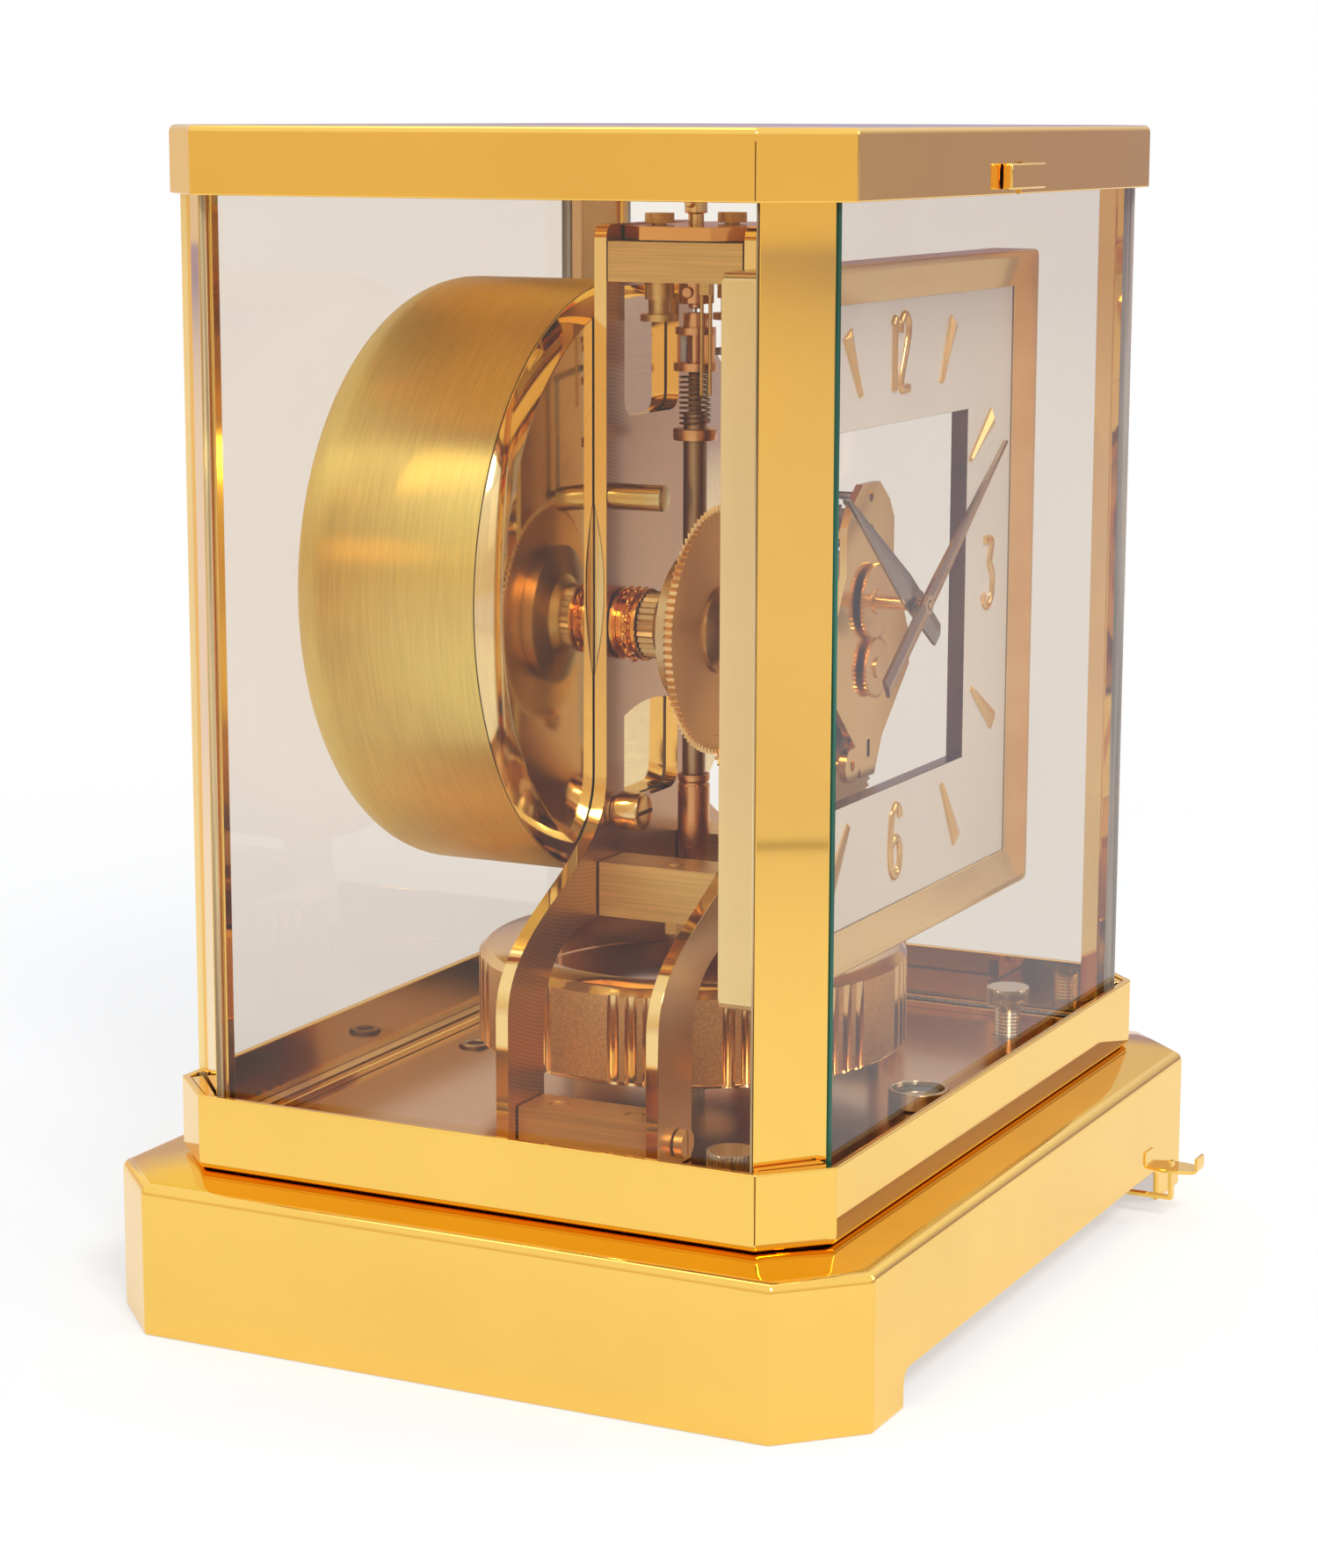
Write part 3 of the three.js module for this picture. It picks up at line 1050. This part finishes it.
function buildTrain() {
  const bridgeBack = bridge.front + bridge.thick;
  const pivotFront = bridge.front + bridge.thick / 2;
  const trainTurn = 0;
  const pinionTurn = meshTurn(greatWheel.teeth, 0, barrelAxis, teeth.trainPinion, trainAxis);
  const second = joined(
    gear(teeth.train, trainModule, trainAxis, trainWheel.front, trainWheel.thick, trainTurn),
    gear(teeth.trainPinion, greatModule, trainAxis, trainWheel.pinionFront,
      trainWheel.pinionBack - trainWheel.pinionFront, pinionTurn),
    bar(arbor.train, pivotFront, trainWheel.pinionBack, trainAxis.x, trainAxis.z, tinySides),
  );
  add("second_wheel", second, "roseBrass");

  const middlePinionTurn = meshTurn(teeth.train, trainTurn, trainAxis, teeth.middlePinion, middleAxis);
  const relayFront = frontWheels.front;
  const clipFront = relayFront - frontWheels.clip;
  const third = joined(
    gear(teeth.middle, middleModule, middleAxis, middleWheel.front, middleWheel.thick, 0, true),
    gear(teeth.middlePinion, trainModule, middleAxis, middleWheel.pinionFront,
      middleWheel.pinionBack - middleWheel.pinionFront, middlePinionTurn),
    gear(teeth.relay, relayModule, middleAxis, relayFront, frontWheels.thick, 0, true),
    bar(frontWheels.clipRadius, clipFront, relayFront + gap, middleAxis.x, middleAxis.z),
    bar(arbor.small, clipFront, frontPlateFront + gap, middleAxis.x, middleAxis.z, tinySides),
  );
  add("intermediate_wheel", third, "roseBrass");

  const cannonTurn = meshTurn(teeth.middle, 0, middleAxis, teeth.cannon, handAxis);
  const noseFront = minuteHand.front - minuteNose;
  const centre = joined(
    gear(teeth.cannon, middleModule, handAxis, cannon.front, cannon.thick, cannonTurn),
    gear(upperTeeth.minute, minuteModule, handAxis, minuteWheel.front, minuteWheel.thick),
    bar(arbor.small, noseFront, frontPlateFront + gap, handAxis.x, handAxis.z, tinySides),
  );
  add("minute_arbor", centre, "roseBrass");

  const hourTurn = meshTurn(teeth.relay, 0, middleAxis, teeth.hour, handAxis);
  const hourDisc = gear(teeth.hour, relayModule, handAxis, relayFront, frontWheels.thick, hourTurn, true);
  const sleeveBar = bar(pipe.radius, pipe.front, relayFront + gap, handAxis.x, handAxis.z, smallSides);
  const boss = bar(frontWheels.hubRadius, relayFront - frontWheels.clip, relayFront + gap, handAxis.x, handAxis.z);
  const wheelBack = relayFront + frontWheels.thick;
  const hole = bar(pipe.bore, pipe.front - overrun, wheelBack + overrun, handAxis.x, handAxis.z, tinySides);
  add("hour_wheel", cut(joined(hourDisc, boss, sleeveBar), hole), "roseBrass");

  const escapePinionTurn = meshTurn(upperTeeth.minute, 0, handAxis, upperTeeth.escapePinion, escapeAxis);
  const pinionThick = escapement.pinionBack - escapement.pinionFront;
  const escapeDisc = plate(
    shapeOf(starPoints(upperTeeth.escape, escapement.radius, escapement.depth, escapeAxis)),
    escapement.front, escapement.front + escapement.thick,
  );
  const escape = joined(
    escapeDisc,
    gear(upperTeeth.escapePinion, minuteModule, escapeAxis, escapement.pinionFront, pinionThick, escapePinionTurn),
    bar(arbor.small, pivotFront, frontPlateFront + gap, escapeAxis.x, escapeAxis.z, tinySides),
  );
  add("escape_wheel", escape, "steel");

  add("pallet_lever", buildPallet(pivotFront), "steel");
  add("movement_bridge", buildBridge(bridgeBack), "polishedGold");
}

function limb(from, to, width, front, thick) {
  // A flat straight arm between two points in the dial's plane.
  const along = Math.atan2(to.z - from.z, to.x - from.x);
  const sideX = (-Math.sin(along) * width) / 2;
  const sideZ = (Math.cos(along) * width) / 2;
  const points = [
    [from.x + sideX, from.z + sideZ], [from.x - sideX, from.z - sideZ],
    [to.x - sideX, to.z - sideZ], [to.x + sideX, to.z + sideZ],
  ];
  return plate(shapeOf(points), front, front + thick);
}

function buildPallet(pivotFront) {
  const spread = 2 * Math.PI * pallet.armAngleShare;
  const reach = escapement.radius + pallet.clear;
  const forkBack = pallet.forkFront + pallet.forkThick;
  const parts = [bar(arbor.small, pivotFront, forkBack, palletAxis.x, palletAxis.z, tinySides)];
  for (const way of [-1, 1]) {
    const elbow = { x: way * (reach + pallet.width / 2), z: palletAxis.z };
    const tipX = escapeAxis.x + way * (reach + pallet.width / 2) * Math.sin(spread);
    const tip = { x: tipX, z: escapeAxis.z + (reach + pallet.width / 2) * Math.cos(spread) };
    const shoulder = { x: (elbow.x + tip.x) / 2, z: (palletAxis.z + tip.z) / 2 };
    parts.push(limb(palletAxis, shoulder, pallet.width, escapement.front, escapement.thick));
    parts.push(limb(shoulder, tip, pallet.width, escapement.front, escapement.thick));
  }
  const forkTop = forkLow + fork.height;
  parts.push(bar(fork.boss, pallet.forkFront, forkBack, palletAxis.x, palletAxis.z));
  parts.push(limb(palletAxis, { x: palletAxis.x, z: forkTop }, fork.boss, pallet.forkFront, pallet.forkThick));
  const tipY = balanceY - roller.radius - fork.tip;
  const halfWidth = fork.width / 2;
  const tongue = box(-halfWidth, halfWidth, pallet.forkFront, tipY, forkLow, forkTop);
  const slotHalf = fork.slot / 2;
  const slot = box(-slotHalf, slotHalf, tipY - fork.slotDepth, tipY + overrun, forkLow - overrun, forkTop + overrun);
  parts.push(cut(tongue, slot));
  return joined(...parts);
}

function buildBridge(bridgeBack) {
  const lower = bridgeLower;
  const upper = bridgeUpper;
  const half = [
    [lower.tipHalf, lower.tip], [lower.waist, lower.waistZ], [lower.half, lower.low], [lower.half, lower.high],
    [upper.half, upper.low], [upper.half, upper.high], [upper.shoulder, upper.bumpFoot], [upper.bump, upper.top],
  ];
  const outline = [...half, ...half.slice().reverse().map(([x, z]) => [-x, z])];
  const front = bridge.front;
  const lobe = bar(bridge.lobe, front, bridgeBack, trainAxis.x, trainAxis.z);
  let body = joined(plate(shapeOf(outline), front, bridgeBack), lobe);
  const bores = [
    [trainAxis, arbor.train], [middleAxis, arbor.small], [handAxis, arbor.small], [escapeAxis, arbor.small],
    [palletAxis, arbor.small],
  ];
  for (const [axis, radius] of bores) {
    body = body.subtract(bar(radius + gap, front - overrun, bridgeBack + overrun, axis.x, axis.z, tinySides));
  }
  const slotHalf = bridgeSlot.width / 2;
  const slotLow = lower.tip + bridgeSlot.lift;
  const slotHigh = slotLow + bridgeSlot.height;
  body = body.subtract(box(-slotHalf, slotHalf, front - overrun, bridgeBack + overrun, slotLow, slotHigh));
  for (const side of [-1, 1]) {
    const { lowX, lowZ, highX, highZ } = bridgePillars;
    body = body.add(bar(bridge.pillar, bridgeBack - gap, frontPlateFront - gap, side * lowX, lowZ, tinySides));
    body = body.add(bar(bridge.pillar, bridgeBack - gap, frontPlateFront - gap, side * highX, highZ, tinySides));
  }
  return body;
}

function markerPoints(outerX, outerZ, innerX, innerZ) {
  const along = Math.atan2(outerZ - innerZ, outerX - innerX);
  const nx = -Math.sin(along);
  const nz = Math.cos(along);
  const wide = marker.wide / 2;
  const narrow = marker.narrow / 2;
  return [
    [innerX - nx * narrow, innerZ - nz * narrow], [outerX - nx * wide, outerZ - nz * wide],
    [outerX + nx * wide, outerZ + nz * wide], [innerX + nx * narrow, innerZ + nz * narrow],
  ];
}

function buildDial() {
  const { half, throat, seat } = bezel;
  const outerShape = new THREE.Shape();
  const r = bezel.round;
  outerShape.moveTo(half - r, -half);
  outerShape.quadraticCurveTo(half, -half, half, -half + r);
  outerShape.lineTo(half, half - r);
  outerShape.quadraticCurveTo(half, half, half - r, half);
  outerShape.lineTo(-half + r, half);
  outerShape.quadraticCurveTo(-half, half, -half, half - r);
  outerShape.lineTo(-half, -half + r);
  outerShape.quadraticCurveTo(-half, -half, -half + r, -half);
  const blank = plate(outerShape, bezel.front, bezel.back);
  const square = (size, y) => [[size, y, -size], [size, y, size], [-size, y, size], [-size, y, -size]];
  const slope = (bezel.throatY - bezel.front) / (half - bezel.lip - throat);
  const flare = half - bezel.lip + overrun;
  const funnel = stacked([square(flare, bezel.front - overrun * slope), square(throat, bezel.throatY)]);
  const throatCut = stacked([square(throat, bezel.throatY - overrun * slope), square(throat, bezel.back + overrun)]);
  const seatCut = stacked([square(seat, bezel.throatY), square(seat, bezel.back + overrun)]);
  const frameBody = cut(blank, funnel, throatCut, seatCut).translate([0, 0, dialCentreZ]);
  add("dial_bezel", frameBody, "polishedGold");

  const plateHalf = seat - gap;
  const open = dial.opening;
  const outline = [[plateHalf, -plateHalf], [plateHalf, plateHalf], [-plateHalf, plateHalf], [-plateHalf, -plateHalf]];
  const opening = [[open, -open], [open, open], [-open, open], [-open, -open]];
  let face = plate(shapeOf(outline, [opening]), dial.front, dial.front + dial.thick);
  const raiseFront = dial.front - marker.raise;
  const raiseBack = dial.front + marker.sink;
  for (let hour = 1; hour < hoursPerTurn; hour += 1) {
    if (hour % hoursPerNumeral === 0) continue;
    const turn = (2 * Math.PI * hour) / hoursPerTurn;
    const upright = Math.abs(Math.cos(turn)) > Math.abs(Math.sin(turn));
    const { outer } = marker;
    const inner = upright ? marker.nearInner : marker.farInner;
    const points = markerPoints(
      outer * Math.sin(turn), outer * Math.cos(turn), inner * Math.sin(turn), inner * Math.cos(turn),
    );
    face = face.add(plate(shapeOf(points), raiseFront, raiseBack));
  }
  face = face.translate([0, 0, dialCentreZ]);
  for (const side of [-1, 1]) {
    for (const z of [dial.footHigh, dial.footLow]) {
      const footFront = dial.front + dial.thick - gap;
      face = face.add(bar(dial.foot, footFront, frontPlateFront - gap, side * dial.footX, z, tinySides));
    }
  }
  add("dial_plate", face, "silvered");
}

function handBody(hand, hub, belly, front) {
  // A tapered blade with a raised spine, pointing to twelve before it is turned.
  const outline = (share) => [
    [-hand.tailHalf * share, -hand.tail], [hand.tailHalf * share, -hand.tail], [hand.half * share, belly],
    [hand.tipHalf * share, hand.length], [-hand.tipHalf * share, hand.length], [-hand.half * share, belly],
  ];
  const spineShare = 0.1;
  const level = (share, y) => outline(share).map(([x, z]) => [x, y, z]);
  const blade = stacked([
    level(1, front + hand.thick), level(1, front), level(spineShare, front - handBlade.ridge),
  ]);
  return joined(blade, bar(hub, front - handBlade.ridge, front + hand.thick, 0, 0, smallSides));
}

function buildHands() {
  const hourBack = hourHand.front + hourHand.thick;
  const hourSolid = cut(
    handBody(hourHand, handBlade.hourHub, handBlade.hourBelly, hourHand.front),
    bar(pipe.radius + gap, hourHand.front - overrun, hourBack + overrun, 0, 0, smallSides),
  );
  const minuteBack = minuteHand.front + minuteHand.thick;
  const minuteSolid = cut(
    handBody(minuteHand, handBlade.minuteHub, handBlade.minuteBelly, minuteHand.front),
    bar(arbor.small + gap, minuteHand.front - overrun, minuteBack + overrun, 0, 0, tinySides),
  );
  const hourMesh = add("hour_hand", hourSolid, "steel");
  hourMesh.position.set(handAxis.x, 0, handAxis.z);
  hourMesh.rotation.y = 2 * Math.PI * handAngle.hourShare;
  const minuteMesh = add("minute_hand", minuteSolid, "steel");
  minuteMesh.position.set(handAxis.x, 0, handAxis.z);
  minuteMesh.rotation.y = 2 * Math.PI * handAngle.minuteShare;
}

function fingerPlate(low, high) {
  // The waisted tab that a finger pushes, with an upturned ear at each end.
  const middleY = -(fingerInner + fingerOuter) / 2;
  const { half, endHalf, ear, earDepth } = leverPlate;
  const waist = 2 * half - endHalf;
  const outline = new THREE.Shape();
  outline.moveTo(leverX - endHalf, -fingerInner);
  outline.quadraticCurveTo(leverX - waist, middleY, leverX - endHalf, -fingerOuter);
  outline.lineTo(leverX + endHalf, -fingerOuter);
  outline.quadraticCurveTo(leverX + waist, middleY, leverX + endHalf, -fingerInner);
  const ears = [-fingerInner - earDepth, -fingerOuter].map((y) => (
    box(leverX - endHalf, leverX + endHalf, y, y + earDepth, high - gap, high + ear)
  ));
  return joined(slab(outline, low, high), ...ears);
}

function buildLock() {
  const armLow = plinth.height - leverArm.drop;
  const armTop = armLow + lever.thick;
  const stepY = plinth.wall + leverArm.fromWall - plinth.depth / 2;
  const along = Math.atan2(stepY - lever.rootY, leverX - lever.rootX);
  const nx = -Math.sin(along) * leverArm.half;
  const ny = Math.cos(along) * leverArm.half;
  const armPoints = [
    [lever.rootX + nx, lever.rootY + ny], [lever.rootX - nx, lever.rootY - ny],
    [leverX - nx, stepY - ny], [leverX + nx, stepY + ny],
  ];
  const arm = slab(shapeOf(armPoints), armLow, armTop);
  const x0 = leverX - leverPlate.endHalf;
  const x1 = leverX + leverPlate.endHalf;
  const underLow = plinthArch.height - leverArm.underDrop;
  const underTop = underLow + lever.thick;
  const plateTop = lever.plateZ + lever.thick;
  const outY = -fingerInner - leverArm.stem;
  const drop = box(x0, x1, stepY - leverArm.stem, stepY + leverArm.half, underLow, armTop);
  const under = box(x0, x1, outY, stepY, underLow, underTop);
  const rise = box(x0, x1, outY, -fingerInner, underLow, plateTop);
  const finger = fingerPlate(lever.plateZ, plateTop);
  const hub = uprightBar(leverArm.hub, armLow - leverArm.hubHeight, armTop, lever.rootX, lever.rootY);
  const pin = uprightBar(leverArm.pinRadius, armTop - gap, floorLow - gap, lever.rootX, lever.rootY, tinySides);
  add("lock_lever", joined(arm, drop, under, rise, finger, hub, pin), "polishedGold");

  const padTop = ring.low - lockPad.clear;
  const padLow = padTop - lockPad.thick;
  const footLow = armTop + gap;
  const footTop = footLow + lockPad.armThick;
  const reachX = lever.rootX - leverArm.pinRadius - lockPad.reach / 2;
  const pad = uprightBar(lockPad.radius, padLow, padTop, 0, balanceY, smallSides);
  const stem = uprightBar(lockPad.post, footLow, padLow + gap, 0, balanceY);
  const foot = box(0, reachX, balanceY - lockPad.armHalf, balanceY + lockPad.armHalf, footLow, footTop);
  const root = uprightBar(lockPad.reach, footLow, footTop, 0, balanceY);
  add("lock_carrier", joined(pad, stem, foot, root), "paleBrass");
}

buildPlinth();
buildRail();
buildFloor();
buildLid();
buildPosts();
buildGlazing();
buildFeet();
buildLevel();
buildRearPlate();
buildFrontPlate();
buildFrameBars();
buildTopBar();
buildSuspension();
buildBalance();
buildHousing();
buildBarrel();
buildTrain();
buildDial();
buildHands();
buildLock();

// The finger plate stands out past the plinth, so the clock moves back by half of that.
clock.position.y = (fingerOuter - plinth.depth / 2) / 2;

export default clock;
